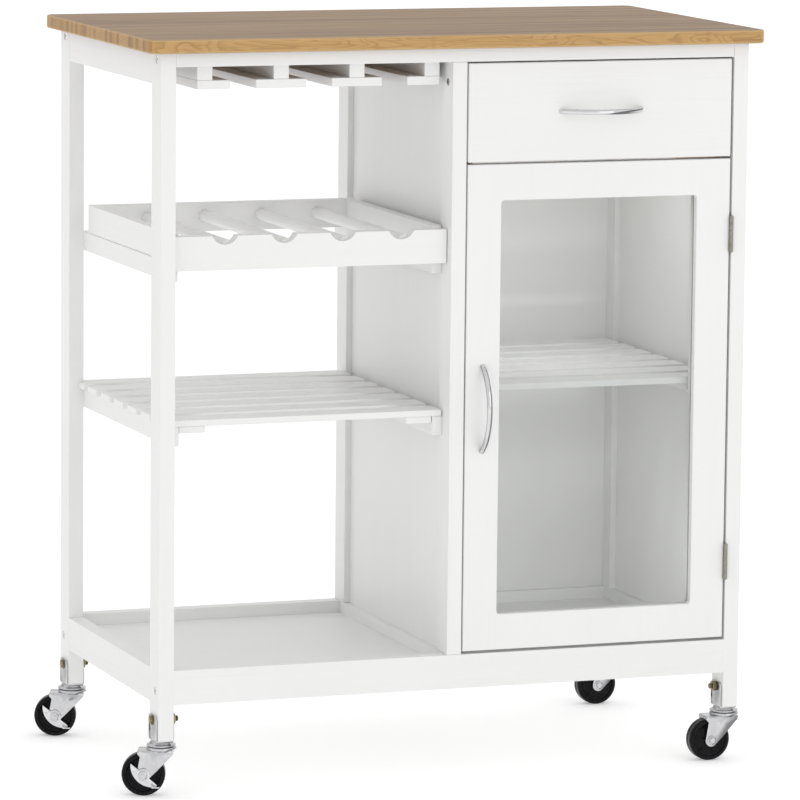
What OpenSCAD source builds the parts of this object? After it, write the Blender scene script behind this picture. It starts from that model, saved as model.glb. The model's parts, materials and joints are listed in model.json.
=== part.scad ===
// Kitchen island cart: pine frame of three ladder-like side frames, bamboo worktop,
// stemware rails, bottle tray and slatted shelf on the left, a drawer over a glazed
// cabinet door on the right, and four swivel casters (the left pair has brakes).
// Front is -Y, up is +Z, the floor is z = 0. Origin: middle of the footprint.

/* [Worktop] */
// Width of the worktop, left to right
top_w = 670; // [640:5:720]
// Depth of the worktop, front to back
top_d = 380; // [360:5:420]
// Thickness of the worktop
top_t = 14; // [12:1:22]
// Height of the worktop's upper face above the floor
total_h = 776; // [740:2:820]
// Radius of the worktop's corners, seen from above
top_corner_r = 10; // [4:1:20]
// Worktop overhang past the left and right frames
side_overhang = 14.5; // [5:0.5:30]
// Worktop overhang past the front and back faces
front_overhang = 13; // [5:1:20]

/* [Frame] */
// Thickness of the side frames, left to right
leg_t = 16; // [14:1:20]
// Depth of a leg, front to back
leg_d = 31; // [26:1:36]
// Height of the rails at the bottom
rail_h = 35.5; // [30:0.5:45]
// Underside of the bottom rails above the floor
bottom_rail_z = 96; // [90:1:120]
// Height of the top rails on both sides of the open bay
open_rail_h = 33; // [25:1:45]
// Height of the top rail on the cabinet's outer side
cabinet_rail_h = 50; // [40:1:60]
// Thickness of the flat rails under the worktop
flat_rail_t = 14.5; // [12:0.5:18]
// Depth of the flat rails under the worktop
flat_rail_d = 20; // [16:1:30]
// Thickness of the side and back panels
panel_t = 3.2; // [3:0.2:6]
// Thickness of the floor boards
floor_t = 12; // [6:1:14]
// Drop from the bottom rails' top to the floor boards
floor_drop = 12.5; // [5:0.5:16]

/* [Stemware rails] */
// Thickness of the hanging stems
stem_t = 16.5; // [12:0.5:18]
// How far a foot reaches past its stem
foot_reach = 18.8; // [14:0.2:20]
// Thickness of the feet
foot_t = 9; // [6:0.5:12]
// Height of the rails, worktop to underside
stemware_h = 39; // [34:1:48]
// Distance from one rail's stem to the next
stemware_pitch = 81.5; // [76:0.5:81.5]

/* [Bottle tray] */
// Upper edge of the tray's front board above the floor
tray_front_z = 574.7; // [540:0.1:600]
// Height of the tray's front board
tray_front_h = 35; // [30:1:45]
// Height of the tray's side and back boards
tray_side_h = 30; // [26:1:36]
// Thickness of the tray's front and back boards
tray_board_t = 15.5; // [12:0.5:18]
// Diameter of the dowels
dowel_d = 12; // [10:1:16]
// Radius of the notches in the front board
notch_r = 15; // [12:0.5:16]
// Depth of the notches
notch_depth = 9; // [7:0.5:12]
// Distance between notches
notch_pitch = 63.3; // [50:0.1:66]

/* [Slatted shelves] */
// Upper face of the open shelf's slats
open_shelf_z = 386.4; // [340:0.2:430]
// Upper face of the cabinet shelf's slats
cabinet_shelf_z = 410.6; // [360:0.2:440]
// Width of a slat, front to back
slat_w = 32; // [26:1:36]
// Thickness of a slat
slat_t = 7; // [6:0.5:9]
// Distance from one slat to the next
slat_pitch = 47.5; // [44:0.5:47.5]
// Slats in each shelf
slat_count = 7; // [5:1:7]

/* [Door and drawer] */
// Thickness of the door and the drawer's front
leaf_t = 16; // [14:1:18]
// Width of the door's stiles and rails
stile_w = 37.5; // [30:0.5:45]
// Upper edge of the door above the floor
door_top_z = 641.5; // [600:0.5:660]
// Gap round the door and the drawer's front
leaf_gap = 1.5; // [1:0.5:3]
// Gap on the door's hinge side, which holds the hinge leaves
hinge_gap = 2.4; // [2.3:0.1:3]
// Height of the drawer's box
drawer_box_h = 78; // [50:1:80]
// Distance between a handle's two ends
handle_span = 90; // [64:1:128]
// How far a handle's grip stands off its front
handle_reach = 25; // [18:1:32]

/* [Casters] */
// Radius of the wheels
wheel_r = 22.5; // [20:0.5:25]
// Width of the wheels
wheel_w = 16; // [12:1:18]
// Distance from the swivel axis back to the axle
trail = 18; // [14:1:22]
// Height of the legs' lower ends
leg_foot_z = 59; // [57:1:62]
// Height of the brackets' bolts
caster_bolt_z = 79; // [76:1:79]
// How far the left casters are swivelled back at rest
caster_turn = 20; // [0:1:45]

/* [Hidden] */
$fn = 48;

// A margin that carries a cut past the face it leaves through
cut = 1;

// Frame size and the two equal bays
frame_w = top_w - 2 * side_overhang;
frame_d = top_d - 2 * front_overhang;
bay_w = (frame_w - 3 * leg_t) / 2;

// The left casters trail past the worktop, so the footprint's middle is left of the frame's
wheel_round = 3;
caster_reach = (trail + wheel_r - wheel_round) * cos(caster_turn)
    + (wheel_w / 2 - wheel_round) * sin(caster_turn) + wheel_round - leg_t / 2;
frame_x = (caster_reach - side_overhang) / 2;

// The handles reach past the worktop, so the footprint's middle is in front of the frame's
frame_y = (handle_reach - front_overhang) / 2;

// Outer and inner faces along X
left_x = frame_x - frame_w / 2;
left_in = left_x + leg_t;
mid_left = left_in + bay_w;
mid_right = mid_left + leg_t;
right_in = mid_right + bay_w;
right_x = right_in + leg_t;

// Front and back faces along Y
front_y = frame_y - frame_d / 2;
back_y = frame_y + frame_d / 2;

// Heights
top_z = total_h - top_t;
rail_top_z = bottom_rail_z + rail_h;
floor_z = rail_top_z - floor_drop;
flat_rail_z = top_z - flat_rail_t;
panel_inset = (leg_t - panel_t) / 2;

// Connector bolts through the legs
bolt_r = 3;
bolt_bore_r = 3.1;
bolt_head_r = 3.9;
bolt_head_t = 2;
bolt_sink = 2.4;
bolt_sink_r = 4.2;
bolt_len = 48;
bolt_rows = [bottom_rail_z + rail_h * 0.38, top_z - flat_rail_t / 2];
front_bores = [front_y + leg_t - 3.8, front_y + flat_rail_d - 5.5];
back_bores = [back_y - leg_t + 3.8, back_y - flat_rail_d + 5.5];

// Stemware rails
stemware_x = left_in + 28.5;
stemware_front = front_y + flat_rail_d + 0.5;
stemware_back = back_y - flat_rail_d - 0.5;

// Bottle tray
tray_gap = 0.8;
tray_left = left_in + tray_gap;
tray_right = mid_left - tray_gap;
tray_front_y = front_y + 11;
tray_rear_y = front_y + 309;
tray_side_t = 11;
tray_side_top = tray_front_z + 2.8;
notch_x = left_in + 56.3;
notch_lift = notch_r - notch_depth;
dowel_z = tray_front_z - 10.7;
dowel_shift = 5;
dowel_socket = 8;

// Cleats that carry the tray and the shelves
cleat_t = 11;
cleat_h = 20;
cleat_front = front_y + 21;
cleat_back = back_y - 21;
tray_cleat_front = tray_front_y + tray_board_t + 0.5;

// Slatted shelves
slat_front = front_y + 20;
slat_overlap = 5.5;
slat_end_gap = 0.8;
batten_w = 28;
batten_t = 7;
batten_gap = 0.5;
batten_front = slat_front + 2;

// Door
door_x0 = mid_right + leaf_gap;
door_x1 = right_in - hinge_gap;
door_z0 = rail_top_z + 3;
door_y1 = front_y + leaf_t;
glass_t = 3;
glass_y = front_y + 7;
rebate = 6;
door_mid_z = (door_z0 + door_top_z) / 2;
catch_z = door_top_z - 90;

// Hinges
hinge_h = 38;
hinge_rows = [door_z0 + 81, door_top_z - 79];
knuckle_r = 2.2;
pin_r = 1;
pin_bore_r = 1.05;
hinge_leaf_t = 1;
hinge_leaf_d = 13;
hinge_x = right_in - hinge_leaf_t - 0.2;
hinge_y = front_y - knuckle_r - 0.1;
knuckles = 5;
knuckle_gap = 0.15;

// Drawer
drawer_z0 = door_top_z + 2.3;
drawer_z1 = flat_rail_z - leaf_gap;
drawer_box_z = drawer_z0 + 1;
drawer_side_t = 12;
drawer_side_gap = 3;
drawer_depth = 300;
drawer_bottom_t = 4;
drawer_bottom_lift = 6;
drawer_left = mid_right + drawer_side_gap;
drawer_right = right_in - drawer_side_gap;
runner_w = 14;
runner_h = 14;
runner_gap = 0.3;
drawer_mid_x = (door_x0 + door_x1) / 2;
drawer_mid_z = (drawer_z0 + drawer_z1) / 2;

// Handles
handle_r = 2.75;

// Casters, in each caster's own frame: swivel axis at x = 0, floor at z = 0
plate_t = 2;
plate_w = 25;
plate_top = 84.5;
web_z = leg_foot_z - plate_t;
race_r = 15.5;
race_split_z = 51.4;
race_gap = 0.3;
kingpin_r = 4;
kingpin_bore_r = 4.05;
crown_t = 2;
crown_z = 2 * wheel_r + 1;
arm_t = 1.8;
arm_in = wheel_w / 2 + 1.6;
arm_out = arm_in + arm_t;
axle_r = 3;
axle_bore_r = 3.05;
axle_head_r = 4.8;
axle_head_t = 2;
brake_y = arm_out + 0.4;
brake_t = 1.5;
brake_r = 23;
brake_hub_r = 7.3;
caster_bolt_r = 3;
caster_bolt_bore_r = 3.1;
caster_head_r = 5.5;
caster_head_t = 3;
caster_nut_r = 5.8;
caster_nut_t = 4.5;
caster_thread_end = 3;
left_leg_mid = left_x + leg_t / 2;
right_leg_mid = right_in + leg_t / 2;
caster_front_y = front_y + leg_d / 2 + 1;
caster_back_y = back_y - leg_d / 2 - 1;

// ---------------------------------------------------------------- shared shapes

// A board given by its lowest and highest corners
module board(low, high) {
    translate(low) cube(high - low);
}

// A cylinder along X from x0 to x1
module x_rod(x0, x1, y, z, r) {
    translate([x0, y, z]) rotate([0, 90, 0]) cylinder(h = x1 - x0, r = r);
}

// A cylinder along Y from y0 to y1
module y_rod(x, y0, y1, z, r) {
    translate([x, y1, z]) rotate([90, 0, 0]) cylinder(h = y1 - y0, r = r);
}

// A leg with a bore for its caster's bolt and sunk bores for its connector bolts
module leg(x, y, caster_y, bores) {
    sink_x = x < frame_x ? x - cut : x + leg_t - bolt_sink;
    color("burlywood") difference() {
        board([x, y, leg_foot_z], [x + leg_t, y + leg_d, top_z]);
        x_rod(x - cut, x + leg_t + cut, caster_y, caster_bolt_z, caster_bolt_bore_r);
        for (row = [0, 1]) {
            x_rod(x - cut, x + leg_t + cut, bores[row], bolt_rows[row], bolt_bore_r);
            x_rod(sink_x, sink_x + bolt_sink + cut, bores[row], bolt_rows[row], bolt_sink_r);
        }
    }
}

// A side frame's rail, between its front and back legs
module side_rail(x, z0, z1) {
    color("burlywood")
        board([x, front_y + leg_d, z0], [x + leg_t, back_y - leg_d, z1]);
}

// A thin panel in the middle of a side frame
module side_panel(x, z1) {
    color("wheat")
        board([x + panel_inset, front_y + leg_d, rail_top_z],
              [x + panel_inset + panel_t, back_y - leg_d, z1]);
}

// ---------------------------------------------------------------- worktop and frame

module worktop() {
    x0 = left_x - side_overhang;
    y0 = front_y - front_overhang;
    color("sienna") translate([x0, y0, top_z]) linear_extrude(top_t) union() {
        translate([top_corner_r, 0]) square([top_w - 2 * top_corner_r, top_d]);
        translate([0, top_corner_r]) square([top_w, top_d - 2 * top_corner_r]);
        for (x = [top_corner_r, top_w - top_corner_r], y = [top_corner_r, top_d - top_corner_r])
            translate([x, y]) circle(r = top_corner_r);
    }
}

module left_front_leg() {
    leg(left_x, front_y, caster_front_y, front_bores);
}

module left_back_leg() {
    leg(left_x, back_y - leg_d, caster_back_y, back_bores);
}

module left_top_rail() {
    side_rail(left_x, top_z - open_rail_h, top_z);
}

module left_bottom_rail() {
    side_rail(left_x, bottom_rail_z, rail_top_z);
}

// The divider's posts stand on the bottom rails and stop under the flat rails
module mid_front_post() {
    color("burlywood") difference() {
        board([mid_left, front_y, rail_top_z], [mid_right, front_y + leg_d, top_z]);
        board([mid_left - cut, front_y - cut, flat_rail_z],
              [mid_right + cut, front_y + flat_rail_d, top_z + cut]);
    }
}

module mid_back_post() {
    color("burlywood") difference() {
        board([mid_left, back_y - leg_d, rail_top_z], [mid_right, back_y, top_z]);
        board([mid_left - cut, back_y - flat_rail_d, flat_rail_z],
              [mid_right + cut, back_y + cut, top_z + cut]);
    }
}

module mid_top_rail() {
    side_rail(mid_left, top_z - open_rail_h, top_z);
}

module mid_bottom_rail() {
    color("burlywood")
        board([mid_left, front_y + leg_t, bottom_rail_z], [mid_right, back_y - leg_t, rail_top_z]);
}

module mid_panel() {
    side_panel(mid_left, top_z - open_rail_h);
}

module right_front_leg() {
    leg(right_in, front_y, caster_front_y, front_bores);
}

module right_back_leg() {
    leg(right_in, back_y - leg_d, caster_back_y, back_bores);
}

module right_top_rail() {
    side_rail(right_in, top_z - cabinet_rail_h, top_z);
}

module right_bottom_rail() {
    side_rail(right_in, bottom_rail_z, rail_top_z);
}

module right_panel() {
    side_panel(right_in, top_z - cabinet_rail_h);
}

// A rail between the left and right legs, bored at both ends for connector bolts
module cross_rail(y0, y1, z0, z1, bore_y, bore_z) {
    color("burlywood") difference() {
        board([left_in, y0, z0], [right_in, y1, z1]);
        for (x = [left_in - cut, right_in - bolt_len + leg_t - cut])
            x_rod(x, x + bolt_len - leg_t + 2 * cut, bore_y, bore_z, bolt_bore_r);
    }
}

module front_top_rail() {
    cross_rail(front_y, front_y + flat_rail_d, flat_rail_z, top_z, front_bores[1], bolt_rows[1]);
}

module back_top_rail() {
    cross_rail(back_y - flat_rail_d, back_y, flat_rail_z, top_z, back_bores[1], bolt_rows[1]);
}

module front_bottom_rail() {
    cross_rail(front_y, front_y + leg_t, bottom_rail_z, rail_top_z, front_bores[0], bolt_rows[0]);
}

module back_bottom_rail() {
    cross_rail(back_y - leg_t, back_y, bottom_rail_z, rail_top_z, back_bores[0], bolt_rows[0]);
}

// The cabinet's back, set in from the back face like the side panels
module back_panel() {
    y = back_y - panel_inset - panel_t;
    color("wheat") board([mid_right, y, rail_top_z], [right_in, y + panel_t, flat_rail_z]);
}

module floor_boards() {
    y0 = front_y + leg_t;
    y1 = back_y - leg_t;
    color("wheat") {
        board([left_in, y0, floor_z - floor_t], [mid_left, y1, floor_z]);
        board([mid_right, y0, floor_z - floor_t], [right_in, y1, floor_z]);
    }
}

// Four hanging rails: the outer two have a foot on one side, the inner two on both
module stemware_rails() {
    foot_z = top_z - stemware_h;
    color("burlywood") for (i = [0:3]) {
        x = stemware_x + i * stemware_pitch;
        left_foot = i == 0 ? 0 : foot_reach;
        right_foot = i == 3 ? 0 : foot_reach;
        translate([x, stemware_back, foot_z]) rotate([90, 0, 0])
            linear_extrude(stemware_back - stemware_front) union() {
                square([stem_t, stemware_h]);
                translate([-left_foot, 0]) square([left_foot + stem_t + right_foot, foot_t]);
            }
    }
}

// ---------------------------------------------------------------- bottle tray

module tray_front_board() {
    y1 = tray_front_y + tray_board_t;
    color("burlywood") difference() {
        board([tray_left, tray_front_y, tray_front_z - tray_front_h],
              [tray_right, y1, tray_front_z]);
        for (i = [0:3]) {
            x = notch_x + i * notch_pitch;
            y_rod(x, tray_front_y - cut, y1 + cut, tray_front_z + notch_lift, notch_r);
            y_rod(x + dowel_shift, y1 - dowel_socket, y1 + cut, dowel_z, dowel_d / 2);
        }
    }
}

module tray_back_board() {
    y0 = tray_rear_y - tray_board_t;
    color("burlywood") difference() {
        board([tray_left, y0, tray_side_top - tray_side_h], [tray_right, tray_rear_y, tray_side_top]);
        for (i = [0:3])
            y_rod(notch_x + i * notch_pitch + dowel_shift, y0 - cut, y0 + dowel_socket,
                  dowel_z, dowel_d / 2);
    }
}

module tray_side_boards() {
    y0 = tray_front_y + tray_board_t;
    y1 = tray_rear_y - tray_board_t;
    color("burlywood") for (x = [tray_left, tray_right - tray_side_t])
        board([x, y0, tray_side_top - tray_side_h], [x + tray_side_t, y1, tray_side_top]);
}

module tray_dowels() {
    y0 = tray_front_y + tray_board_t - dowel_socket;
    y1 = tray_rear_y - tray_board_t + dowel_socket;
    color("wheat") for (i = [0:3])
        y_rod(notch_x + i * notch_pitch + dowel_shift, y0, y1, dowel_z, dowel_d / 2);
}

// ---------------------------------------------------------------- shelves

// Strips on the frames' inner faces that carry the tray, the open shelf and the cabinet shelf
module shelf_cleats() {
    tray_z = tray_side_top - tray_side_h;
    open_z = open_shelf_z - slat_t;
    cabinet_z = cabinet_shelf_z - slat_t;
    color("burlywood") {
        for (x = [left_in, mid_left - cleat_t]) {
            board([x, tray_cleat_front, tray_z - cleat_h], [x + cleat_t, cleat_back, tray_z]);
            board([x, cleat_front, open_z - cleat_h], [x + cleat_t, cleat_back, open_z]);
        }
        for (x = [mid_right, right_in - cleat_t])
            board([x, cleat_front, cabinet_z - cleat_h], [x + cleat_t, cleat_back, cabinet_z]);
    }
}

// A row of slats; on the open side their ends run in between the legs
module slats(x0, x1, z1) {
    for (i = [0:slat_count - 1]) {
        y = slat_front + i * slat_pitch;
        board([x0, y, z1 - slat_t], [x1, min(y + slat_w, back_y - leg_t - 1), z1]);
    }
}

module open_shelf_slats() {
    color("burlywood") difference() {
        slats(left_in - slat_overlap, mid_left - slat_end_gap, open_shelf_z);
        for (y = [front_y, back_y - leg_d])
            board([left_x, y - slat_end_gap, open_shelf_z - slat_t - cut],
                  [left_in + slat_end_gap, y + leg_d + slat_end_gap, open_shelf_z + cut]);
    }
}

module cabinet_shelf_slats() {
    color("burlywood")
        slats(mid_right + slat_end_gap, right_in - slat_end_gap, cabinet_shelf_z);
}

// Two flat strips under a shelf's slats, just inside its cleats
module battens(x0, x1, z1) {
    color("burlywood") for (x = [x0 + cleat_t + batten_gap, x1 - cleat_t - batten_gap - batten_w])
        board([x, batten_front, z1 - batten_t], [x + batten_w, cleat_back, z1]);
}

module open_shelf_battens() {
    battens(left_in, mid_left, open_shelf_z - slat_t);
}

module cabinet_shelf_battens() {
    battens(mid_right, right_in, cabinet_shelf_z - slat_t);
}

// ---------------------------------------------------------------- drawer

// A bow handle along X: a round bar bent to an arc whose ends stand on the face at y = 0
module bow_handle() {
    half = handle_span / 2;
    rise = handle_reach - handle_r;
    bow_r = (half * half + rise * rise) / (2 * rise);
    bow_a = asin(half / bow_r) + 4;
    difference() {
        translate([0, bow_r - rise, 0]) rotate([0, 0, 270 - bow_a])
            rotate_extrude(angle = 2 * bow_a) translate([bow_r, 0]) circle(r = handle_r);
        board([-handle_span, 0, -3 * handle_r], [handle_span, handle_span, 3 * handle_r]);
    }
}

module drawer_front() {
    color("burlywood") board([door_x0, front_y, drawer_z0], [door_x1, front_y + leaf_t, drawer_z1]);
}

module drawer_sides() {
    y0 = front_y + leaf_t;
    color("wheat") for (x = [drawer_left, drawer_right - drawer_side_t])
        board([x, y0, drawer_box_z], [x + drawer_side_t, y0 + drawer_depth, drawer_box_z + drawer_box_h]);
}

module drawer_back() {
    y1 = front_y + leaf_t + drawer_depth;
    color("wheat") board([drawer_left + drawer_side_t, y1 - drawer_side_t, drawer_box_z],
                         [drawer_right - drawer_side_t, y1, drawer_box_z + drawer_box_h]);
}

module drawer_bottom() {
    y0 = front_y + leaf_t;
    z0 = drawer_box_z + drawer_bottom_lift;
    color("wheat") board([drawer_left + drawer_side_t, y0, z0],
                         [drawer_right - drawer_side_t, y0 + drawer_depth - drawer_side_t,
                          z0 + drawer_bottom_t]);
}

module drawer_handle() {
    color("silver") translate([drawer_mid_x, front_y, drawer_mid_z]) bow_handle();
}

// Bars on the frames' inner faces that the drawer's sides slide on
module drawer_runners() {
    z1 = drawer_box_z - runner_gap;
    color("burlywood") for (x = [mid_right, right_in - runner_w])
        board([x, front_y + leaf_t + 4, z1 - runner_h], [x + runner_w, back_y - leg_t - 2, z1]);
}

// ---------------------------------------------------------------- door

module door_stiles() {
    color("burlywood") difference() {
        for (x = [door_x0, door_x1 - stile_w])
            board([x, front_y, door_z0], [x + stile_w, door_y1, door_top_z]);
        board([door_x0 + stile_w - rebate, glass_y, door_z0 + stile_w - rebate],
              [door_x1 - stile_w + rebate, door_y1 + cut, door_top_z - stile_w + rebate]);
    }
}

module door_rails() {
    color("burlywood") difference() {
        for (z = [door_z0, door_top_z - stile_w])
            board([door_x0 + stile_w, front_y, z], [door_x1 - stile_w, door_y1, z + stile_w]);
        board([door_x0 + stile_w - rebate, glass_y, door_z0 + stile_w - rebate],
              [door_x1 - stile_w + rebate, door_y1 + cut, door_top_z - stile_w + rebate]);
    }
}

module door_glass() {
    color("lightblue", 0.35)
        board([door_x0 + stile_w - rebate, glass_y, door_z0 + stile_w - rebate],
              [door_x1 - stile_w + rebate, glass_y + glass_t, door_top_z - stile_w + rebate]);
}

// Four strips behind the glass that hold it in its rebate
module door_beads() {
    x0 = door_x0 + stile_w - rebate;
    x1 = door_x1 - stile_w + rebate;
    z0 = door_z0 + stile_w - rebate;
    z1 = door_top_z - stile_w + rebate;
    y0 = glass_y + glass_t;
    color("burlywood") {
        for (x = [x0, x1 - rebate]) board([x, y0, z0], [x + rebate, door_y1, z1]);
        for (z = [z0, z1 - rebate])
            board([x0 + rebate, y0, z], [x1 - rebate, door_y1, z + rebate]);
    }
}

module door_handle() {
    color("silver") translate([door_x0 + stile_w / 2, front_y, door_mid_z])
        rotate([0, 90, 0]) bow_handle();
}

// One leaf's knuckles and plate; side is 1 for the leg's leaf, -1 for the door's.
// The pin is one piece with the leg's knuckles and turns in the door's.
module hinge_leaf(side) {
    step = hinge_h / knuckles;
    inner = side > 0 ? 0.2 : hinge_leaf_t + 0.2;
    first = side > 0 ? 0 : 1;
    difference() {
        union() {
            translate([side > 0 ? inner : -inner, knuckle_r + 0.3, 0])
                cube([hinge_leaf_t, hinge_leaf_d, hinge_h]);
            for (k = [first:2:knuckles - 1]) {
                z0 = k * step + knuckle_gap;
                h = step - 2 * knuckle_gap;
                translate([0, 0, z0]) cylinder(h = h, r = knuckle_r);
                translate([side > 0 ? inner : -inner, 0, z0])
                    cube([hinge_leaf_t, knuckle_r + 1, h]);
            }
        }
        if (side < 0)
            translate([0, 0, -cut]) cylinder(h = hinge_h + 2 * cut, r = pin_bore_r);
    }
    if (side > 0)
        translate([0, 0, -0.6]) cylinder(h = hinge_h + 1.2, r = pin_r);
}

module door_hinge_leaves() {
    color("darkgoldenrod") for (z = hinge_rows)
        translate([hinge_x, hinge_y, z - hinge_h / 2]) hinge_leaf(-1);
}

module frame_hinge_leaves() {
    color("darkgoldenrod") for (z = hinge_rows)
        translate([hinge_x, hinge_y, z - hinge_h / 2]) hinge_leaf(1);
}

// A magnetic catch on the divider's post and its strike plate on the door
module door_catch() {
    color("dimgray") board([mid_right, door_y1 + 1.8, catch_z - 8],
                           [mid_right + 13, door_y1 + 14.8, catch_z + 8]);
}

module door_strike() {
    color("silver") board([mid_right + 3, door_y1, catch_z - 10],
                          [mid_right + 15, door_y1 + 1.4, catch_z + 10]);
}

// ---------------------------------------------------------------- hardware and casters

// Connector bolts: a head sunk in a leg's outer face and a shank into the rail behind it
module connector_bolts() {
    seat = bolt_sink;
    color("silver") for (bore = [0, 1], y = [front_bores[bore], back_bores[bore]]) {
        z = bolt_rows[bore];
        x_rod(left_x + seat - bolt_head_t, left_x + seat, y, z, bolt_head_r);
        x_rod(left_x + seat, left_x + bolt_len, y, z, bolt_r);
        x_rod(right_x - seat, right_x - seat + bolt_head_t, y, z, bolt_head_r);
        x_rod(right_x - bolt_len, right_x - seat, y, z, bolt_r);
    }
}

// A U-shaped bracket round a leg's foot, with its half of the race and the kingpin
module caster_bracket() {
    half = leg_t / 2;
    difference() {
        union() {
            for (side = [-1, 1])
                translate([side * (half + plate_t / 2) - plate_t / 2, -plate_w / 2, web_z])
                    cube([plate_t, plate_w, plate_top - web_z]);
            translate([-half - plate_t, -plate_w / 2, web_z])
                cube([leg_t + 2 * plate_t, plate_w, plate_t]);
            translate([0, 0, race_split_z + race_gap])
                cylinder(h = web_z - race_split_z - race_gap, r = race_r - 0.5);
            translate([0, 0, crown_z - 1]) cylinder(h = web_z - crown_z, r = kingpin_r);
            translate([0, 0, crown_z - 2.2]) cylinder(h = 2, r = kingpin_r + 1);
        }
        x_rod(-half - plate_t - cut, half + plate_t + cut, 0, caster_bolt_z, caster_bolt_bore_r);
    }
}

// Each caster's swivel axis and its turn at rest
caster_places = [
    [left_leg_mid, caster_front_y, -caster_turn], [left_leg_mid, caster_back_y, -caster_turn],
    [right_leg_mid, caster_front_y, 0], [right_leg_mid, caster_back_y, 0]
];

module at_caster(place) {
    translate([place[0], place[1], 0]) rotate([0, 0, place[2]]) children();
}

module caster_brackets() {
    color("silver") for (p = caster_places) translate([p[0], p[1], 0]) caster_bracket();
}

// Bolts through the brackets and legs: a domed head outside, a hexagonal nut inside
module caster_bolts() {
    color("goldenrod") for (p = caster_places) {
        out = p[0] < frame_x ? -1 : 1;
        face = leg_t / 2 + plate_t;
        translate([p[0], p[1], caster_bolt_z]) rotate([0, out < 0 ? 180 : 0, 0]) {
            rotate([0, 90, 0]) translate([0, 0, face]) cylinder(h = caster_head_t, r = caster_head_r);
            rotate([0, 90, 0]) translate([0, 0, -face - caster_nut_t - caster_thread_end])
                cylinder(h = 2 * face + caster_nut_t + caster_thread_end, r = caster_bolt_r);
            rotate([0, 90, 0]) translate([0, 0, -face - caster_nut_t]) difference() {
                cylinder(h = caster_nut_t, r = caster_nut_r, $fn = 6);
                translate([0, 0, -cut]) cylinder(h = caster_nut_t + 2 * cut, r = caster_bolt_r);
            }
        }
    }
}

// A pressed fork with its half of the race, a crown, two arms and the axle
module fork(place, axle_front) {
    color("silver") at_caster(place) {
        difference() {
            union() {
                translate([0, 0, crown_z]) cylinder(h = race_split_z - crown_z, r = race_r);
                translate([-24, -arm_out, crown_z]) cube([26, 2 * arm_out, crown_t]);
                for (side = [-1, 1])
                    translate([0, side * (arm_in + arm_t / 2) + arm_t / 2, 0]) rotate([90, 0, 0])
                        linear_extrude(arm_t) union() {
                            polygon([[-24, crown_z + crown_t], [-24, crown_z - 2],
                                     [-21.3, crown_z - 4], [-24.9, wheel_r],
                                     [-trail, wheel_r - 7], [-13, 17.6],
                                     [13, crown_z - 2], [13, crown_z + crown_t]]);
                            translate([-trail, wheel_r]) circle(r = 7);
                        }
            }
            translate([0, 0, crown_z - 3 * cut])
                cylinder(h = race_split_z - crown_z + 6 * cut, r = kingpin_bore_r);
            y_rod(-trail, -arm_out - cut, arm_out + cut, wheel_r, axle_r);
        }
        y_rod(-trail, -axle_front, arm_out + axle_head_t, wheel_r, axle_r);
        translate([-trail, -axle_front, wheel_r]) rotate([90, 0, 0])
            cylinder(h = axle_head_t, r = axle_head_r);
        difference() {
            y_rod(-trail, arm_out, arm_out + axle_head_t, wheel_r, axle_head_r);
            y_rod(-trail, arm_out - cut, arm_out + axle_head_t + cut, wheel_r, axle_r);
        }
    }
}

// The braked casters' axles are longer at the front, where the brake plate turns on them
braked_axle = brake_y + brake_t + 0.3;
plain_axle = arm_out;

module front_left_fork() {
    fork(caster_places[0], braked_axle);
}

module back_left_fork() {
    fork(caster_places[1], braked_axle);
}

module front_right_fork() {
    fork(caster_places[2], plain_axle);
}

module back_right_fork() {
    fork(caster_places[3], plain_axle);
}

// A solid plastic wheel: rounded tread, recessed side faces, a hub and a bore for the axle
module wheel(place) {
    half = wheel_w / 2;
    round_r = wheel_round;
    hub_r = 7;
    rim_in = wheel_r - 5;
    color("black") at_caster(place) translate([-trail, 0, wheel_r]) rotate([90, 0, 0])
        rotate_extrude($fn = 72) difference() {
            union() {
                translate([axle_bore_r, -half - 0.8]) square([hub_r - axle_bore_r, wheel_w + 1.6]);
                translate([axle_bore_r, -half]) square([wheel_r - round_r - axle_bore_r, wheel_w]);
                translate([axle_bore_r, round_r - half])
                    square([wheel_r - axle_bore_r, wheel_w - 2 * round_r]);
                for (y = [round_r - half, half - round_r])
                    translate([wheel_r - round_r, y]) circle(r = round_r);
            }
            for (side = [-1, 1])
                translate([hub_r, side * (half + 0.5) - 2]) square([rim_in - hub_r, 4]);
        }
}

module front_left_wheel() {
    wheel(caster_places[0]);
}

module back_left_wheel() {
    wheel(caster_places[1]);
}

module front_right_wheel() {
    wheel(caster_places[2]);
}

module back_right_wheel() {
    wheel(caster_places[3]);
}

// A crescent-shaped brake plate on the axle, with a foot tab folded out at its low end
module brake(place) {
    color("silver") at_caster(place) translate([-trail, -brake_y, wheel_r]) difference() {
        union() {
            rotate([90, 0, 0]) linear_extrude(brake_t) union() {
                intersection() {
                    translate([10, 10.7]) circle(r = brake_r);
                    polygon([[-14, 14], [14, -9.5], [14, -15], [-14, -15]]);
                }
                circle(r = brake_hub_r);
            }
            translate([8.5, -brake_t - 6, -12]) cube([8.5, 7.5, 1.6]);
        }
        translate([0, cut, 0]) rotate([90, 0, 0]) cylinder(h = brake_t + 2 * cut, r = axle_bore_r);
    }
}

module front_left_brake() {
    brake(caster_places[0]);
}

module back_left_brake() {
    brake(caster_places[1]);
}

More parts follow.
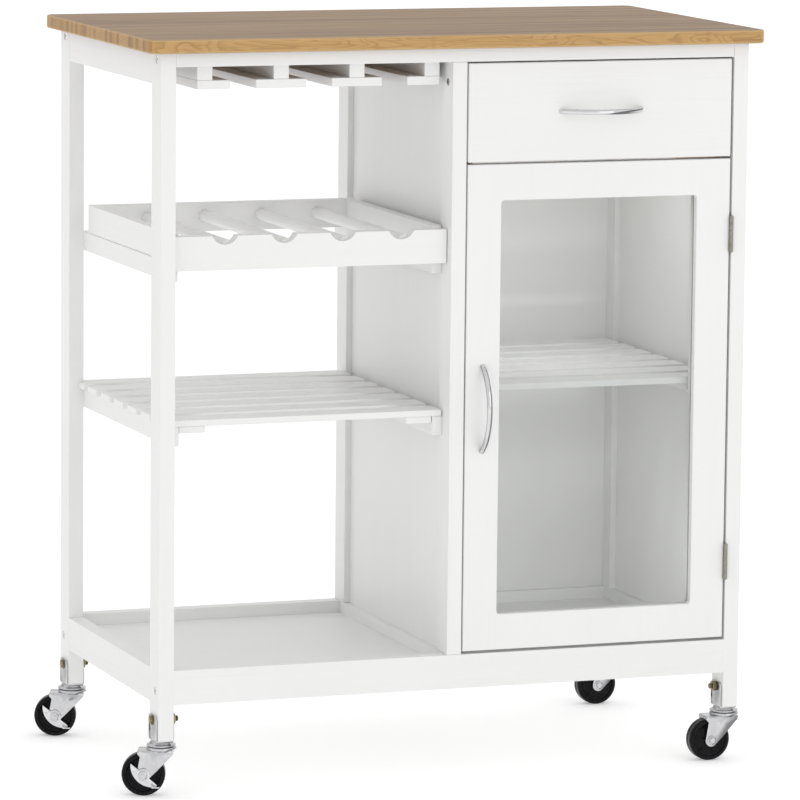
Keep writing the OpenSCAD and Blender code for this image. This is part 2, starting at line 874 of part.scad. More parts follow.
worktop();
left_front_leg();
left_back_leg();
left_top_rail();
left_bottom_rail();
mid_front_post();
mid_back_post();
mid_top_rail();
mid_bottom_rail();
mid_panel();
right_front_leg();
right_back_leg();
right_top_rail();
right_bottom_rail();
right_panel();
front_top_rail();
front_bottom_rail();
back_top_rail();
back_bottom_rail();
back_panel();
floor_boards();
stemware_rails();
tray_front_board();
tray_back_board();
tray_side_boards();
tray_dowels();
shelf_cleats();
open_shelf_slats();
open_shelf_battens();
cabinet_shelf_slats();
cabinet_shelf_battens();
drawer_front();
drawer_sides();
drawer_back();
drawer_bottom();
drawer_handle();
drawer_runners();
door_stiles();
door_rails();
door_glass();
door_beads();
door_handle();
door_hinge_leaves();
frame_hinge_leaves();
door_catch();
door_strike();
connector_bolts();
caster_brackets();
caster_bolts();
front_left_fork();
back_left_fork();
front_right_fork();
back_right_fork();
front_left_wheel();
back_left_wheel();
front_right_wheel();
back_right_wheel();
front_left_brake();
back_left_brake();
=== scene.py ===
"""Looks for the kitchen island cart: painted pine, bamboo, chrome and glass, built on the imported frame."""
import json
import math

import bmesh
import bpy
from mathutils import Matrix, Vector


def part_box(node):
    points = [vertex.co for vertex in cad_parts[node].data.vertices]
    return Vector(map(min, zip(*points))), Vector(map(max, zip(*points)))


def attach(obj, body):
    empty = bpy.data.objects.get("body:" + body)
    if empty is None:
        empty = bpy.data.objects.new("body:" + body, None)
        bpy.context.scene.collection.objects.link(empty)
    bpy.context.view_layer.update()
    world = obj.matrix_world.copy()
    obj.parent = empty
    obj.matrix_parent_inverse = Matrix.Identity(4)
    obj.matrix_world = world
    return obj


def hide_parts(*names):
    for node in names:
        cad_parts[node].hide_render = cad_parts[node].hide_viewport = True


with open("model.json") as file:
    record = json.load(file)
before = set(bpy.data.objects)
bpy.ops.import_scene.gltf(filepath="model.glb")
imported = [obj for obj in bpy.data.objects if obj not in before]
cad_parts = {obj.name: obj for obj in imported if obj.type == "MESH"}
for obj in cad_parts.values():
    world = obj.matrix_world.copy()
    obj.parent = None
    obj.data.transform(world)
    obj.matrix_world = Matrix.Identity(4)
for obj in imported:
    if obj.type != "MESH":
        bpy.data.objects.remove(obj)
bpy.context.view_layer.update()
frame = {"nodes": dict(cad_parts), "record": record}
nodes = frame["nodes"]
record = frame["record"]
body_of = {n: b for b, ns in record["behaviour"]["bodies"].items() for n in ns}
MM = 0.001


# ---------------------------------------------------------------- materials

class Nodes:
    """A short way to add shader nodes to one material."""

    def __init__(self, name):
        self.material = bpy.data.materials.new(name)
        self.material.use_nodes = True
        self.tree = self.material.node_tree
        self.shader = self.tree.nodes["Principled BSDF"]

    def add(self, kind, settings=None, **inputs):
        n = self.tree.nodes.new("ShaderNode" + kind)
        for key, value in (settings or {}).items():
            setattr(n, key, value)
        for key, value in inputs.items():
            self.put(n, int(key[1:]) if key[0] == "i" and key[1:].isdigit() else key.replace("_", " "), value)
        return n

    def put(self, n, key, value):
        if hasattr(value, "is_output"):
            self.tree.links.new(value, n.inputs[key])
        else:
            n.inputs[key].default_value = value

    def math(self, operation, a, b=0.0, clamp=False):
        return self.add("Math", {"operation": operation, "use_clamp": clamp}, i0=a, i1=b).outputs[0]

    def place(self, scale):
        """The object's coordinates, stretched."""
        coords = self.add("TexCoord").outputs["Object"]
        return self.add("Mapping", Vector=coords, Scale=scale).outputs[0]

    def noise(self, scale, size, detail=3.0, rough=0.55, distort=0.0):
        n = self.add("TexNoise", Vector=self.place(scale), Scale=size, Detail=detail, Roughness=rough,
                     Distortion=distort)
        return n.outputs["Fac"]

    def spread(self, value, low, high, a=0.0, b=1.0):
        n = self.add("MapRange", Value=value, From_Min=low, From_Max=high, To_Min=a, To_Max=b)
        return n.outputs[0]

    def mix(self, fac, a, b, blend="MIX"):
        n = self.add("Mix", {"data_type": "RGBA", "blend_type": blend, "clamp_factor": True}, i0=fac)
        self.put(n, 6, a)
        self.put(n, 7, b)
        return n.outputs[2]

    def bump(self, height, strength, distance, normal=None):
        n = self.add("Bump", Height=height, Strength=strength, Distance=distance)
        if normal is not None:
            self.put(n, "Normal", normal)
        return n.outputs[0]

    def edge(self):
        """1 on the faces of a rounded edge, 0 elsewhere."""
        return self.add("Attribute", {"attribute_name": "edge"}).outputs["Fac"]

    def done(self, color, rough, normal=None, **sockets):
        self.put(self.shader, "Base Color", color)
        self.put(self.shader, "Roughness", rough)
        if normal is not None:
            self.put(self.shader, "Normal", normal)
        for key, value in sockets.items():
            self.put(self.shader, key.replace("_", " "), value)
        return self.material


ALONG = {"x": (1, 38, 38), "y": (38, 1, 38), "z": (38, 38, 1)}


def rgb(r, g, b):
    return (r, g, b, 1.0)


def white_paint(axis, name="white_paint_", base=(0.85, 0.85, 0.846), peel_depth=0.10):
    """Satin white paint over pine: the grain telegraphs through it, and edges are rubbed a little thinner."""
    m = Nodes(name + axis)
    grain = m.noise(ALONG[axis], 9.0, 5.0, 0.6, 0.6)
    streak = m.noise(ALONG[axis], 2.2, 2.0, 0.5, 1.2)
    peel = m.noise((1, 1, 1), 420.0, 2.0)
    tone = m.noise((1, 1, 1), 5.0, 2.0)
    lines = m.spread(grain, 0.56, 0.74)
    shade = m.mix(m.spread(tone, 0.3, 0.7), rgb(*base), rgb(base[0] * 0.975, base[1] * 0.975, base[2] * 0.97))
    shade = m.mix(m.math("MULTIPLY", lines, 0.25), shade,
                  rgb(base[0] * 0.90, base[1] * 0.895, base[2] * 0.885))
    shade = m.mix(m.math("MULTIPLY", m.spread(streak, 0.5, 0.75), 0.15), shade,
                  rgb(base[0] * 0.94, base[1] * 0.935, base[2] * 0.925))
    rubbed = m.math("MULTIPLY", m.edge(), m.spread(peel, 0.35, 0.7))
    shade = m.mix(m.math("MULTIPLY", rubbed, 0.35), shade,
                  rgb(base[0] * 0.86, base[1] * 0.85, base[2] * 0.82))
    rough = m.spread(m.math("ADD", m.math("MULTIPLY", grain, 0.7), m.math("MULTIPLY", peel, 0.3)),
                     0.3, 0.75, 0.34, 0.52)
    normal = m.bump(grain, 0.22, 0.00012)
    normal = m.bump(peel, peel_depth, 0.00005, normal)
    return m.done(shade, rough, normal, Specular_IOR_Level=0.5, IOR=1.5)


def bamboo():
    """Laminated bamboo: strips along X in varied tones, with glue lines, long fibres and growth rings."""
    m = Nodes("bamboo_strips")
    coords = m.add("SeparateXYZ", Vector=m.add("TexCoord").outputs["Object"])
    x, y = coords.outputs[0], coords.outputs[1]
    strip = m.math("DIVIDE", m.math("ADD", y, 1.0), 0.0082)
    number = m.math("FLOOR", strip)
    inside = m.math("FRACT", strip)
    pick = m.add("TexWhiteNoise", {"noise_dimensions": "1D"}, W=number).outputs["Value"]
    pick2 = m.add("TexWhiteNoise", {"noise_dimensions": "1D"}, W=m.math("ADD", number, 57.3)).outputs["Value"]
    # each strip takes its fibres from another place in the noise
    shift = m.add("CombineXYZ", X=m.math("MULTIPLY", pick, 9.0), Y=m.math("MULTIPLY", pick2, 5.0)).outputs[0]
    moved = m.add("VectorMath", {"operation": "ADD"}, i0=m.add("TexCoord").outputs["Object"],
                  i1=shift).outputs[0]
    stretched = m.add("Mapping", Vector=moved, Scale=(1.6, 55, 55)).outputs[0]
    fibre = m.add("TexNoise", Vector=stretched, Scale=9.0, Detail=6.0, Roughness=0.62,
                  Distortion=0.8).outputs["Fac"]
    drawn_out = m.add("Mapping", Vector=moved, Scale=(6, 150, 150)).outputs[0]
    pores = m.add("TexNoise", Vector=drawn_out, Scale=12.0, Detail=2.0).outputs["Fac"]
    wide = m.noise((1.5, 12, 12), 3.0, 2.0)
    side = m.add("SeparateXYZ", Vector=m.add("NewGeometry").outputs["Normal"])
    end = m.spread(m.math("ABSOLUTE", side.outputs[0]), 0.75, 0.9)
    top = m.spread(m.math("ABSOLUTE", side.outputs[2]), 0.75, 0.9)
    shade = m.mix(pick, rgb(0.53, 0.325, 0.13), rgb(0.45, 0.26, 0.095))
    shade = m.mix(m.math("MULTIPLY", m.spread(pick2, 0.72, 0.95), 0.6), shade, rgb(0.36, 0.185, 0.06))
    shade = m.mix(m.math("MULTIPLY", m.spread(wide, 0.35, 0.7), 0.3), shade, rgb(0.60, 0.385, 0.165))
    shade = m.mix(m.math("MULTIPLY", m.spread(fibre, 0.5, 0.72), 0.6), shade, rgb(0.33, 0.165, 0.052))
    # a growth ring crosses each strip every 30 cm or so
    ring = m.math("FRACT", m.math("ADD", m.math("MULTIPLY", x, 3.3), m.math("MULTIPLY", pick, 7.0)))
    ring = m.spread(m.math("ABSOLUTE", m.math("SUBTRACT", ring, 0.5)), 0.0, 0.012, 1.0, 0.0)
    shade = m.mix(m.math("MULTIPLY", ring, 0.2), shade, rgb(0.24, 0.115, 0.035))
    seam = m.math("MINIMUM", inside, m.math("SUBTRACT", 1.0, inside))
    seam = m.spread(seam, 0.0, 0.035, 1.0, 0.0)
    shade = m.mix(m.math("MULTIPLY", seam, 0.45), shade, rgb(0.22, 0.11, 0.04))
    # cut ends are dotted and a little darker, and the top face is darkened as painted shade
    dots = m.noise((1, 1, 1), 900.0, 2.0)
    dotted = m.math("MULTIPLY", end, m.spread(dots, 0.45, 0.65, 0.10, 0.5))
    shade = m.mix(dotted, shade, rgb(0.27, 0.14, 0.055))
    uneven = m.math("MULTIPLY", end, m.spread(pick, 0.4, 0.95, 0.0, 0.75))
    shade = m.mix(uneven, shade, rgb(0.23, 0.13, 0.06))
    # painted shade: faces pointing up or down are darker than the sides
    shade = m.mix(m.math("MULTIPLY", top, 0.62), shade, rgb(0.225, 0.145, 0.095))
    line = m.noise((0.5, 38, 38), 3.2, 3.0, 0.7)
    dark_line = m.math("MULTIPLY", top, m.spread(line, 0.5, 0.64, 0.0, 0.6))
    pale_line = m.math("MULTIPLY", top, m.spread(line, 0.5, 0.36, 0.0, 0.4))
    shade = m.mix(dark_line, shade, rgb(0.12, 0.072, 0.042))
    shade = m.mix(pale_line, shade, rgb(0.42, 0.29, 0.18))
    # the long edges show flat-sawn grain: bent lines running along X
    front = m.spread(m.math("ABSOLUTE", side.outputs[1]), 0.75, 0.9)
    bends = m.noise((5, 0.1, 34), 1.6, 2.0, 0.5, 0.9)
    late = m.math("FRACT", m.math("MULTIPLY", bends, 11.0))
    bent = m.math("MULTIPLY", front, m.spread(late, 0.55, 0.95, 0.0, 0.5))
    shade = m.mix(bent, shade, rgb(0.30, 0.165, 0.055))
    # the rounded edges are a lighter tan
    lighter_edge = m.math("MULTIPLY", m.edge(), 0.35)
    shade = m.mix(lighter_edge, shade, rgb(0.66, 0.47, 0.25))
    rough = m.spread(fibre, 0.3, 0.75, 0.42, 0.58)
    normal = m.bump(pores, 0.30, 0.00010)
    normal = m.bump(m.math("MULTIPLY", seam, -1.0), 0.35, 0.00012, normal)
    return m.done(shade, rough, normal, Specular_IOR_Level=0.3)


def bare_wood(axis):
    """Clear lacquered pine for the drawer's box and runners."""
    m = Nodes("pine_" + axis)
    rings = m.noise(ALONG[axis], 2.4, 3.0, 0.5, 1.5)
    grain = m.noise(ALONG[axis], 14.0, 5.0, 0.65, 0.4)
    late = m.math("FRACT", m.math("MULTIPLY", rings, 7.0))
    shade = m.mix(m.spread(late, 0.25, 0.95), rgb(0.66, 0.46, 0.26), rgb(0.52, 0.315, 0.145))
    shade = m.mix(m.math("MULTIPLY", m.spread(grain, 0.5, 0.75), 0.5), shade, rgb(0.42, 0.24, 0.10))
    return m.done(shade, m.spread(grain, 0.3, 0.7, 0.40, 0.58), m.bump(grain, 0.3, 0.00012))


# the direction, right, front and down, round which polished metal gets a painted dark reflection
PAINTED_REFLECTION_SIDE = (0.82, -0.42, -0.38)


def metal(name, base, low, high, brush=(1, 1, 1), dull=(0.5, 0.5, 0.5), dark=0.0):
    """Plated steel: its gloss varies and pits are duller; rounded edges get a painted highlight, and surfaces
    in a band round the right, front and down direction, and those facing the other way, are darkened as a
    painted reflection.

    The white studio has nothing dark to reflect, so the dark reflections are painted into the base colour.
    """
    m = Nodes(name)
    cloud = m.noise((1, 1, 1), 60.0, 4.0, 0.6)
    fine = m.noise(brush, 700.0, 3.0, 0.7)
    shade = m.mix(m.spread(cloud, 0.4, 0.75, 0.0, 0.6), rgb(*base), rgb(*[b * d for b, d in zip(base, dull)]))
    # painted highlight: rounded edges are a little lighter, as if catching the light
    shade = m.mix(m.math("MULTIPLY", m.edge(), 0.25), shade, rgb(*[min(1.0, b * 1.12) for b in base]))
    # painted reflection: surfaces in a band round the right-front-down direction, and those facing away from
    # it, are darkened as if they mirrored something dark
    if dark:
        facing = m.add("VectorMath", {"operation": "DOT_PRODUCT"}, i0=m.add("NewGeometry").outputs["Normal"],
                       i1=PAINTED_REFLECTION_SIDE).outputs["Value"]
        band = m.math("MULTIPLY", m.spread(facing, 0.50, 0.60), m.spread(facing, 0.78, 0.90, 1.0, 0.0))
        rim = m.spread(facing, -0.62, -0.78)
        streak = m.math("MAXIMUM", band, m.math("MULTIPLY", rim, 0.7))
        shade = m.mix(m.math("MULTIPLY", streak, dark), shade, rgb(0.05, 0.05, 0.055))
    rough = m.spread(m.math("ADD", m.math("MULTIPLY", cloud, 0.6), m.math("MULTIPLY", fine, 0.4)),
                     0.35, 0.7, low, high)
    return m.done(shade, rough, m.bump(fine, 0.06, 0.00003), Metallic=1.0)


def black_plastic():
    """Moulded black nylon, glossy on the sides and scuffed where it rolls."""
    m = Nodes("black_nylon")
    cloud = m.noise((1, 1, 1), 45.0, 4.0, 0.6)
    fine = m.noise((1, 1, 1), 900.0, 2.0)
    scuff = m.noise((1, 0.25, 1), 240.0, 5.0, 0.7)
    shade = m.mix(m.spread(cloud, 0.4, 0.7), rgb(0.004, 0.004, 0.005), rgb(0.008, 0.008, 0.009))
    shade = m.mix(m.math("MULTIPLY", m.spread(scuff, 0.6, 0.78), 0.2), shade, rgb(0.03, 0.03, 0.029))
    rough = m.spread(m.math("ADD", m.math("MULTIPLY", cloud, 0.5), m.math("MULTIPLY", scuff, 0.5)),
                     0.35, 0.65, 0.16, 0.34)
    return m.done(shade, rough, m.bump(fine, 0.08, 0.00004), Specular_IOR_Level=0.14)


def pale_plastic():
    m = Nodes("catch_nylon")
    fine = m.noise((1, 1, 1), 600.0, 2.0)
    shade = m.mix(m.spread(fine, 0.3, 0.7), rgb(0.74, 0.73, 0.70), rgb(0.68, 0.67, 0.63))
    return m.done(shade, m.spread(fine, 0.3, 0.7, 0.42, 0.56), m.bump(fine, 0.2, 0.00005))


def clear_glass():
    """A pane that lets light straight through, with a mirror film that follows the viewing angle."""
    m = Nodes("clear_glass")
    m.tree.nodes.remove(m.shader)
    smear = m.noise((1, 1, 1), 14.0, 4.0, 0.6)
    through = m.add("BsdfTransparent", Color=rgb(0.982, 0.988, 0.986)).outputs[0]
    mirror = m.add("BsdfGlossy", Color=rgb(1, 1, 1),
                   Roughness=m.spread(smear, 0.3, 0.7, 0.02, 0.06)).outputs[0]
    film = m.add("Fresnel", IOR=1.3).outputs[0]
    both = m.add("MixShader", i0=film)
    m.put(both, 1, through)
    m.put(both, 2, mirror)
    m.put(m.tree.nodes["Material Output"], "Surface", both.outputs[0])
    return m.material


PAINT = {a: white_paint(a) for a in "xyz"}
PANEL = {a: white_paint(a, "white_panel_", (0.85, 0.85, 0.846), 0.04) for a in "xyz"}
PINE = {a: bare_wood(a) for a in "xy"}
BAMBOO = bamboo()
CHROME = metal("polished_chrome", (0.72, 0.72, 0.73), 0.05, 0.13, dull=(0.86, 0.86, 0.87), dark=0.85)
PLATE = metal("chrome_plate", (0.64, 0.64, 0.65), 0.10, 0.24, dull=(0.66, 0.66, 0.67), dark=0.7)
ZINC = metal("bright_zinc", (0.78, 0.78, 0.78), 0.24, 0.38, dull=(0.85, 0.85, 0.85))
YELLOW = metal("yellow_zinc", (0.27, 0.235, 0.14), 0.22, 0.38, dull=(0.65, 0.62, 0.5))
NICKEL = metal("dull_nickel", (0.33, 0.315, 0.285), 0.24, 0.42, dull=(0.7, 0.7, 0.68))
NYLON = black_plastic()
CATCH = pale_plastic()
GLASS = clear_glass()


# ---------------------------------------------------------------- mesh helpers

def edge_layer(bm):
    return bm.faces.layers.float.get("edge") or bm.faces.layers.float.new("edge")


def soften(bm, width, segments=2, angle=30.0):
    """Rounds every edge sharper than angle, and marks the new faces as edge."""
    layer = edge_layer(bm)
    sharp = [e for e in bm.edges if len(e.link_faces) == 2 and e.calc_face_angle(0.0) > math.radians(angle)]
    made = bmesh.ops.bevel(bm, geom=sharp, offset=width, segments=segments, profile=0.5, affect="EDGES",
                           clamp_overlap=True)
    for f in made["faces"]:
        f[layer] = 1.0


def make(name, bm, material, body, replaces=(), smooth=35.0, weighted=True):
    """Turns bm into a piece that rides on body and stands for CAD nodes."""
    bmesh.ops.recalc_face_normals(bm, faces=bm.faces)
    mesh = bpy.data.meshes.new(name)
    bm.to_mesh(mesh)
    bm.free()
    mesh.materials.append(material)
    mesh.polygons.foreach_set("use_smooth", [True] * len(mesh.polygons))
    mesh.set_sharp_from_angle(angle=math.radians(smooth))
    obj = bpy.data.objects.new(name, mesh)
    bpy.context.scene.collection.objects.link(obj)
    if weighted:
        mod = obj.modifiers.new("flat_faces", "WEIGHTED_NORMAL")
        mod.keep_sharp = True
        mod.weight = 80
    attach(obj, body)
    if replaces:
        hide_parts(*replaces)
    return obj


def refined(name, material, width=0.8, segments=2):
    """A CAD node's own shape with its edges rounded, as its own piece."""
    bm = bmesh.new()
    bm.from_mesh(nodes[name].data)
    bmesh.ops.remove_doubles(bm, verts=bm.verts, dist=2e-6)
    bmesh.ops.dissolve_limit(bm, angle_limit=math.radians(0.6), verts=bm.verts, edges=bm.edges)
    soften(bm, width * MM, segments)
    return make(name + "_finish", bm, material, body_of[name], [name], smooth=40.0)


def frame_of(axis, centre):
    """A matrix whose local Z points along the axis, with its origin at centre, in mm."""
    z = Vector(axis).normalized()
    x = Vector((0, 0, 1)).cross(z) if abs(z.z) < 0.9 else Vector((1, 0, 0))
    x.normalize()
    y = z.cross(x)
    m = Matrix((x, y, z)).transposed().to_4x4()
    m.translation = Vector(centre)
    return m


def lathe(bm, profile, axis, centre, segments=64, turned=0.0, loop=False):
    """Turns a profile of (radius, height) in mm round the axis through centre."""
    place = frame_of(axis, centre)
    rings = []
    for r, h in profile:
        if r < 1e-6:
            rings.append([bm.verts.new(place @ Vector((0, 0, h)) * MM)])
        else:
            rings.append([bm.verts.new(place @ Vector((r * math.cos(turned + math.tau * k / segments),
                                                       r * math.sin(turned + math.tau * k / segments), h)) * MM)
                          for k in range(segments)])
    pairs = list(zip(rings, rings[1:])) + ([(rings[-1], rings[0])] if loop else [])
    for a, b in pairs:
        for k in range(segments):
            n = (k + 1) % segments
            if len(a) == 1 and len(b) > 1:
                bm.faces.new((a[0], b[k], b[n]))
            elif len(b) == 1 and len(a) > 1:
                bm.faces.new((a[k], b[0], a[n]))
            elif len(a) > 1:
                bm.faces.new((a[k], b[k], b[n], a[n]))
    return bm


def slab(bm, outline, plane, low, high):
    """A flat plate: an outline in mm in the xz, yz or xy plane, from low to high along the third axis."""
    def spot(p, h):
        u, v = p
        return Vector({"xz": (u, h, v), "yz": (h, u, v), "xy": (u, v, h)}[plane]) * MM
    a = [bm.verts.new(spot(p, low)) for p in outline]
    b = [bm.verts.new(spot(p, high)) for p in outline]
    bm.faces.new(a)
    bm.faces.new(list(reversed(b)))
    for k in range(len(outline)):
        n = (k + 1) % len(outline)
        bm.faces.new((a[k], b[k], b[n], a[n]))
    return bm


def arc(cx, cy, r, start, end, steps=10):
    return [(cx + r * math.cos(math.radians(start + (end - start) * k / steps)),
             cy + r * math.sin(math.radians(start + (end - start) * k / steps))) for k in range(steps + 1)]


def merge(bm, other):
    """Adds other's mesh to bm, keeping its edge marks."""
    edge_layer(bm)
    edge_layer(other)
    mesh = bpy.data.meshes.new("scratch")
    other.to_mesh(mesh)
    other.free()
    bm.from_mesh(mesh)
    bpy.data.meshes.remove(mesh)


def softened(build, width, segments=2, angle=30.0):
    bm = bmesh.new()
    build(bm)
    bmesh.ops.recalc_face_normals(bm, faces=bm.faces)
    soften(bm, width * MM, segments, angle)
    return bm


def mm_box(name):
    low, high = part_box(name)
    return low * 1000, high * 1000


# ---------------------------------------------------------------- wood

GRAIN = {
    "x": ["front_top_rail", "front_bottom_rail", "back_top_rail", "back_bottom_rail", "tray_front_board",
          "tray_back_board", "open_shelf_slats", "cabinet_shelf_slats", "drawer_front"],
    "y": ["left_top_rail", "left_bottom_rail", "mid_top_rail", "mid_bottom_rail", "right_top_rail",
          "right_bottom_rail", "tray_side_boards", "shelf_cleats", "open_shelf_battens",
          "cabinet_shelf_battens"],
    "z": ["left_front_leg", "left_back_leg", "mid_front_post", "mid_back_post", "right_front_leg",
          "right_back_leg", "door_beads"],
}
ROUNDING = {"drawer_front": 1.2, "open_shelf_slats": 1.0, "cabinet_shelf_slats": 1.0, "door_beads": 0.5}
for axis, names in GRAIN.items():
    for n in names:
        refined(n, PAINT[axis], ROUNDING.get(n, 0.7))
for n in ("mid_panel", "right_panel", "back_panel"):
    refined(n, PANEL["z"], 0.2)
refined("floor_boards", PANEL["x"], 0.5)
refined("worktop", BAMBOO, 1.8, 3)
refined("drawer_sides", PINE["y"], 0.8)
refined("drawer_back", PINE["x"], 0.8)
refined("drawer_bottom", PANEL["x"], 0.3)
refined("drawer_runners", PINE["y"], 0.8)
refined("tray_dowels", PAINT["y"], 0.5)


def door_frame():
    """The door's stiles and rails as one painted frame, with a round-cornered opening and a rebate."""
    low, high = mm_box("door_stiles")
    glass_low, glass_high = mm_box("door_glass")
    lap = 6.0

    def ring(inset_low, inset_high, r, y):
        x0, z0, x1, z1 = inset_low.x, inset_low.z, inset_high.x, inset_high.z
        outline = (arc(x1 - r, z1 - r, r, 0, 90, 5) + arc(x0 + r, z1 - r, r, 90, 180, 5) +
                   arc(x0 + r, z0 + r, r, 180, 270, 5) + arc(x1 - r, z0 + r, r, 270, 360, 5))
        return [bm.verts.new(Vector((u, y, v)) * MM) for u, v in outline]

    bm = bmesh.new()
    edge = Vector((lap, 0, lap))
    rings = [ring(low, high, 1.2, low.y), ring(glass_low + edge, glass_high - edge, 3.2, low.y),
             ring(glass_low + edge, glass_high - edge, 3.2, glass_low.y),
             ring(glass_low, glass_high, 0.1, glass_low.y), ring(glass_low, glass_high, 0.1, high.y),
             ring(low, high, 1.2, high.y)]
    for a, b in zip(rings, rings[1:] + rings[:1]):
        for k in range(len(a)):
            n = (k + 1) % len(a)
            bm.faces.new((a[k], b[k], b[n], a[n]))
    bmesh.ops.recalc_face_normals(bm, faces=bm.faces)
    layer = edge_layer(bm)
    outer = {v for r in (rings[0], rings[5], rings[1]) for v in r}
    sharp = [e for e in bm.edges if e.verts[0] in outer and e.verts[1] in outer
             and e.calc_face_angle(0.0) > math.radians(60)]
    made = bmesh.ops.bevel(bm, geom=sharp, offset=1.1 * MM, segments=3, profile=0.5, affect="EDGES",
                           clamp_overlap=True)
    for f in made["faces"]:
        f[layer] = 1.0
    make("door_frame", bm, PAINT["z"], "door", ["door_stiles", "door_rails"],
         smooth=40.0)


def stemware():
    """Hanging rails, each a stem with a flat foot glued under it."""
    low, high = mm_box("stemware_rails")
    stem, foot, reach = 16.5, 9.0, 18.8
    pitch = (high.x - low.x - stem) / 3
    bm = bmesh.new()
    for i in range(4):
        x = low.x + i * pitch
        left, right = (0 if i == 0 else reach), (0 if i == 3 else reach)
        upright = [(x, low.z + foot), (x + stem, low.z + foot), (x + stem, high.z), (x, high.z)]
        sole = [(x - left, low.z), (x + stem + right, low.z), (x + stem + right, low.z + foot),
                (x - left, low.z + foot)]
        for outline in (upright, sole):
            merge(bm, softened(lambda b: slab(b, outline, "xz", low.y, high.y), 0.7))
    make("stemware_rail_boards", bm, PAINT["y"], "cart", ["stemware_rails"],
         smooth=40.0)


door_frame()
stemware()


# ---------------------------------------------------------------- handles, glass, hinges, catch

def bow(name, along, body):
    """A bow handle: a round bar bent to an arc, fuller in the middle and flat where it meets the face."""
    low, high = mm_box(name)
    centre = (low + high) / 2
    face = high.y
    length = (high - low).dot(Vector(along))
    rise = high.y - low.y - 2.75
    half = length / 2 - 3.4
    radius = (half * half + rise * rise) / (2 * rise)
    spread = math.asin(half / radius)
    bm = bmesh.new()
    rings = []
    steps, sides = 48, 24
    for k in range(steps + 1):
        t = -spread + 2 * spread * k / steps
        mid = Vector((centre.x, face + radius - rise - radius * math.cos(t), centre.z))
        mid += Vector(along) * radius * math.sin(t)
        out = Vector((0, math.cos(t), 0)) - Vector(along) * math.sin(t)
        across = Vector(along).cross(Vector((0, 1, 0)))
        thick = 2.75 - 0.35 * abs(k / steps * 2 - 1) ** 2
        rings.append([bm.verts.new((mid + out * math.cos(a) * thick + across * math.sin(a) * 2.75) * MM)
                      for a in (math.tau * j / sides for j in range(sides))])
    for ring in (rings[0], rings[-1]):
        for v in ring:
            v.co.y = face * MM
    for a, b in zip(rings, rings[1:]):
        for j in range(sides):
            n = (j + 1) % sides
            bm.faces.new((a[j], b[j], b[n], a[n]))
    bm.faces.new(rings[0])
    bm.faces.new(list(reversed(rings[-1])))
    make(name + "_bow", bm, CHROME, body, [name], smooth=60.0, weighted=False)


bow("drawer_handle", (1, 0, 0), "drawer")
bow("door_handle", (0, 0, 1), "door")


def handle_screws(name, along, inside, body):
    """Pan-head screws on the inner face, behind each end of a handle."""
    low, high = mm_box(name)
    centre = (low + high) / 2
    half = (high - low).dot(Vector(along)) / 2 - 5
    bm = bmesh.new()
    for s in (-1, 1):
        spot = Vector((centre.x, inside, centre.z)) + Vector(along) * half * s
        lathe(bm, [(0, 1.9), (1.2, 1.85), (2.4, 1.4), (3.2, 0.6), (3.4, 0.0), (0, 0)], (0, 1, 0), spot, 32)
    make(name + "_screws", bm, ZINC, body, (), smooth=50.0, weighted=False)


nodes["door_glass"].data.materials.clear()
nodes["door_glass"].data.materials.append(GLASS)
handle_screws("drawer_handle", (1, 0, 0), mm_box("drawer_front")[1].y, "drawer")
handle_screws("door_handle", (0, 0, 1), mm_box("door_stiles")[1].y, "door")
refined("door_hinge_leaves", NICKEL, 0.15)
refined("frame_hinge_leaves", NICKEL, 0.15)
refined("door_catch", CATCH, 1.0)
refined("door_strike", ZINC, 0.3)


def hinge_screws():
    """Countersunk screws in the hinge leaves: two in the door's edge and two in the leg for each hinge."""
    for name, side, body in (("door_hinge_leaves", -1, "door"), ("frame_hinge_leaves", 1, "cart")):
        leaf_low, leaf_high = mm_box("door_hinge_leaves")
        face = (leaf_high.x - 2.4) if side < 0 else (mm_box("right_front_leg")[0].x - 1.0)
        span = leaf_high.z - leaf_low.z
        bm = bmesh.new()
        for base in (leaf_low.z, leaf_low.z + span - 38.0):
            for dz in (9.5, 28.5):
                spot = (face, leaf_high.y - 5.5, base + dz)
                head = [(0, 0.02), (0.7, 0.02), (0.8, 0.22), (1.9, 0.24), (2.2, 0.12), (2.2, -0.2), (0, -0.2)]
                lathe(bm, head, (-side, 0, 0), spot, 24)
        make(name + "_screws", bm, ZINC, body, (), smooth=40.0, weighted=False)


hinge_screws()


# ---------------------------------------------------------------- bolts

def connector_heads():
    """Socket-head connector bolts, sunk in the legs' outer faces."""
    low, high = mm_box("connector_bolts")
    bm = bmesh.new()
    solids = bmesh.new()
    solids.from_mesh(nodes["connector_bolts"].data)
    bmesh.ops.remove_doubles(solids, verts=solids.verts, dist=2e-6)
    spots = set()
    for v in solids.verts:
        x, y, z = v.co * 1000
        if abs(x - low.x) < 0.01 or abs(x - high.x) < 0.01:
            spots.add((x < 0, y < 0, z > 400))
    solids.free()
    for left, front, upper in sorted(spots):
        side = -1 if left else 1
        rail = "front" if front else "back"
        rail_low, rail_high = mm_box(rail + ("_top_rail" if upper else "_bottom_rail"))
        y = (rail_high.y - 5.5 if upper else rail_high.y - 3.8) if front else (
            rail_low.y + 5.5 if upper else rail_low.y + 3.8)
        z = (rail_low.z + rail_high.z) / 2 if upper else rail_low.z + (rail_high.z - rail_low.z) * 0.38
        x = low.x if left else high.x
        out = (side, 0, 0)
        lathe(bm, [(3.9, -2.0), (3.9, -0.4), (3.6, -0.05), (2.9, 0.0), (1.5, 0.0)], out, (x, y, z), 40)
        socket = [(1.6, 0.0), (1.55, -0.7), (0, -0.8)]
        lathe(bm, socket, out, (x, y, z), 6)
        lathe(bm, [(2.9, 0.0), (3.0, -45.0), (0, -45.0)], out, (x - side * 2.0, y, z), 24)
    make("connector_bolt_heads", bm, ZINC, "cart", ["connector_bolts"],
         smooth=40.0, weighted=False)


connector_heads()


